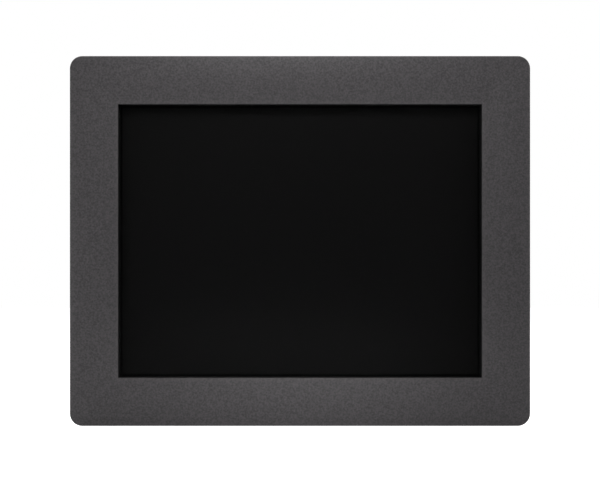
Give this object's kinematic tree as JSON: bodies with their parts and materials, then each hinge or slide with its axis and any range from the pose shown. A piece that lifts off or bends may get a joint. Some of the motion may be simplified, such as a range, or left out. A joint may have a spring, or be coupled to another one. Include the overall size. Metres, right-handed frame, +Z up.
{
  "type": "panel-mount tablet computer",
  "caption": "Panel-mount touch tablet computer: flat rectangular metal bezel round a recessed 4:3 screen, finned computer housing behind, held in a panel cut-out by screw clamps.",
  "frame": {"origin": "centre of the panel cut-out, in the plane of the bezel's rear face", "axes": "+X to the right as seen from the front, -Y the way the screen faces, +Y into the cabinet, +Z up"},
  "size_m": [0.392, 0.0741, 0.315],
  "materials": {
    "bezel_powder_coat": "matte",
    "housing_powder_coat": "matte",
    "gasket_rubber": "matte",
    "screen_glass": "satin",
    "black_coated_steel": "satin",
    "display_cell": "satin",
    "backlight_moulding": "satin",
    "zinc_plated_steel": "satin",
    "nickel_shell": "satin",
    "anodised_aluminium": "satin",
    "circuit_board": "satin",
    "battery_steel": "satin",
    "black_plastic": "satin"
  },
  "bodies": {
    "root": {"front_bezel": "bezel_powder_coat", "panel_gasket": "gasket_rubber", "window_seal": "gasket_rubber", "touch_glass": "screen_glass", "lcd_frame": "black_coated_steel", "lcd_cell": "display_cell", "lcd_backlight": "backlight_moulding", "lcd_bracket_left": "zinc_plated_steel", "lcd_bracket_right": "zinc_plated_steel", "display_housing": "housing_powder_coat", "computer_housing": "housing_powder_coat", "rear_cover": "housing_powder_coat", "heat_sink": "anodised_aluminium", "heat_spreader": "anodised_aluminium", "main_board": "circuit_board", "memory_module": "circuit_board", "backup_battery": "battery_steel", "touch_controller_board": "circuit_board", "backlight_driver_board": "circuit_board", "button_board": "circuit_board", "drive_cage": "zinc_plated_steel", "power_inlet": "black_plastic", "rocker_housing": "black_plastic", "serial_port": "nickel_shell", "video_port": "nickel_shell", "lan_port_1": "nickel_shell", "lan_port_2": "nickel_shell", "usb_ports_bottom": "nickel_shell", "usb_ports_side": "nickel_shell", "ground_screw": "zinc_plated_steel", "cover_screw_upper_left": "zinc_plated_steel", "cover_screw_upper_right": "zinc_plated_steel", "cover_screw_lower_left": "zinc_plated_steel", "cover_screw_lower_right": "zinc_plated_steel", "clamp_bracket_top_left": "zinc_plated_steel", "clamp_bracket_top_right": "zinc_plated_steel", "clamp_bracket_bottom_left": "zinc_plated_steel", "clamp_bracket_bottom_right": "zinc_plated_steel", "clamp_bracket_left": "zinc_plated_steel", "clamp_bracket_right": "zinc_plated_steel"},
    "drive_tray": {"storage_tray": "housing_powder_coat", "solid_state_drive": "anodised_aluminium"},
    "tray_thumbscrew_upper": {"tray_thumbscrew_upper": "zinc_plated_steel"},
    "tray_thumbscrew_lower": {"tray_thumbscrew_lower": "zinc_plated_steel"},
    "power_rocker": {"power_rocker": "black_plastic"},
    "reset_button": {"reset_button": "black_plastic"},
    "clamp_pad_top_left": {"clamp_pad_top_left": "black_plastic"},
    "clamp_screw_top_left": {"clamp_screw_top_left": "zinc_plated_steel"},
    "clamp_pad_top_right": {"clamp_pad_top_right": "black_plastic"},
    "clamp_screw_top_right": {"clamp_screw_top_right": "zinc_plated_steel"},
    "clamp_pad_bottom_left": {"clamp_pad_bottom_left": "black_plastic"},
    "clamp_screw_bottom_left": {"clamp_screw_bottom_left": "zinc_plated_steel"},
    "clamp_pad_bottom_right": {"clamp_pad_bottom_right": "black_plastic"},
    "clamp_screw_bottom_right": {"clamp_screw_bottom_right": "zinc_plated_steel"},
    "clamp_pad_left": {"clamp_pad_left": "black_plastic"},
    "clamp_screw_left": {"clamp_screw_left": "zinc_plated_steel"},
    "clamp_pad_right": {"clamp_pad_right": "black_plastic"},
    "clamp_screw_right": {"clamp_screw_right": "zinc_plated_steel"}
  },
  "joints": [
    {"name": "tray_slide", "type": "slide", "parent": "root", "child": "drive_tray", "axis": [-1, 0, 0], "range_m": [0, 0.075]},
    {"name": "thumbscrew_upper_turn", "type": "hinge", "parent": "drive_tray", "child": "tray_thumbscrew_upper", "pos_m": [-0.1526, 0.0332, 0.001], "axis": [-1, 0, 0], "range_deg": [-1440, 0]},
    {"name": "thumbscrew_lower_turn", "type": "hinge", "parent": "drive_tray", "child": "tray_thumbscrew_lower", "pos_m": [-0.1526, 0.0332, -0.091], "axis": [-1, 0, 0], "range_deg": [-1440, 0]},
    {"name": "rocker_tilt", "type": "hinge", "parent": "root", "child": "power_rocker", "pos_m": [-0.1505, 0.038, 0.062], "axis": [0, 1, 0], "range_deg": [0, 24]},
    {"name": "reset_press", "type": "slide", "parent": "root", "child": "reset_button", "axis": [1, 0, 0], "range_m": [0, 0.0008], "stiffness_N_per_m": 1200},
    {"name": "clamp_top_left_advance", "type": "slide", "parent": "root", "child": "clamp_pad_top_left", "axis": [0, -1, 0], "range_m": [0, 0.0087]},
    {"name": "clamp_top_left_turn", "type": "hinge", "parent": "clamp_pad_top_left", "child": "clamp_screw_top_left", "pos_m": [-0.13, 0.041, 0.1495], "axis": [0, -1, 0], "range_deg": [0, 4475]},
    {"name": "clamp_top_right_advance", "type": "slide", "parent": "root", "child": "clamp_pad_top_right", "axis": [0, -1, 0], "range_m": [0, 0.0087]},
    {"name": "clamp_top_right_turn", "type": "hinge", "parent": "clamp_pad_top_right", "child": "clamp_screw_top_right", "pos_m": [0.13, 0.041, 0.1495], "axis": [0, -1, 0], "range_deg": [0, 4475]},
    {"name": "clamp_bottom_left_advance", "type": "slide", "parent": "root", "child": "clamp_pad_bottom_left", "axis": [0, -1, 0], "range_m": [0, 0.0087]},
    {"name": "clamp_bottom_left_turn", "type": "hinge", "parent": "clamp_pad_bottom_left", "child": "clamp_screw_bottom_left", "pos_m": [-0.13, 0.041, -0.1495], "axis": [0, -1, 0], "range_deg": [0, 4475]},
    {"name": "clamp_bottom_right_advance", "type": "slide", "parent": "root", "child": "clamp_pad_bottom_right", "axis": [0, -1, 0], "range_m": [0, 0.0087]},
    {"name": "clamp_bottom_right_turn", "type": "hinge", "parent": "clamp_pad_bottom_right", "child": "clamp_screw_bottom_right", "pos_m": [0.13, 0.041, -0.1495], "axis": [0, -1, 0], "range_deg": [0, 4475]},
    {"name": "clamp_left_advance", "type": "slide", "parent": "root", "child": "clamp_pad_left", "axis": [0, -1, 0], "range_m": [0, 0.0087]},
    {"name": "clamp_left_turn", "type": "hinge", "parent": "clamp_pad_left", "child": "clamp_screw_left", "pos_m": [-0.188, 0.041, 0.024], "axis": [0, -1, 0], "range_deg": [0, 4475]},
    {"name": "clamp_right_advance", "type": "slide", "parent": "root", "child": "clamp_pad_right", "axis": [0, -1, 0], "range_m": [0, 0.0087]},
    {"name": "clamp_right_turn", "type": "hinge", "parent": "clamp_pad_right", "child": "clamp_screw_right", "pos_m": [0.188, 0.041, 0.024], "axis": [0, -1, 0], "range_deg": [0, 4475]}
  ],
  "couplings": [
    {"joint": "clamp_top_left_turn", "follows": "clamp_top_left_advance", "rad_per_m": 8976},
    {"joint": "clamp_top_right_turn", "follows": "clamp_top_right_advance", "rad_per_m": 8976},
    {"joint": "clamp_bottom_left_turn", "follows": "clamp_bottom_left_advance", "rad_per_m": 8976},
    {"joint": "clamp_bottom_right_turn", "follows": "clamp_bottom_right_advance", "rad_per_m": 8976},
    {"joint": "clamp_left_turn", "follows": "clamp_left_advance", "rad_per_m": 8976},
    {"joint": "clamp_right_turn", "follows": "clamp_right_advance", "rad_per_m": 8976}
  ]
}
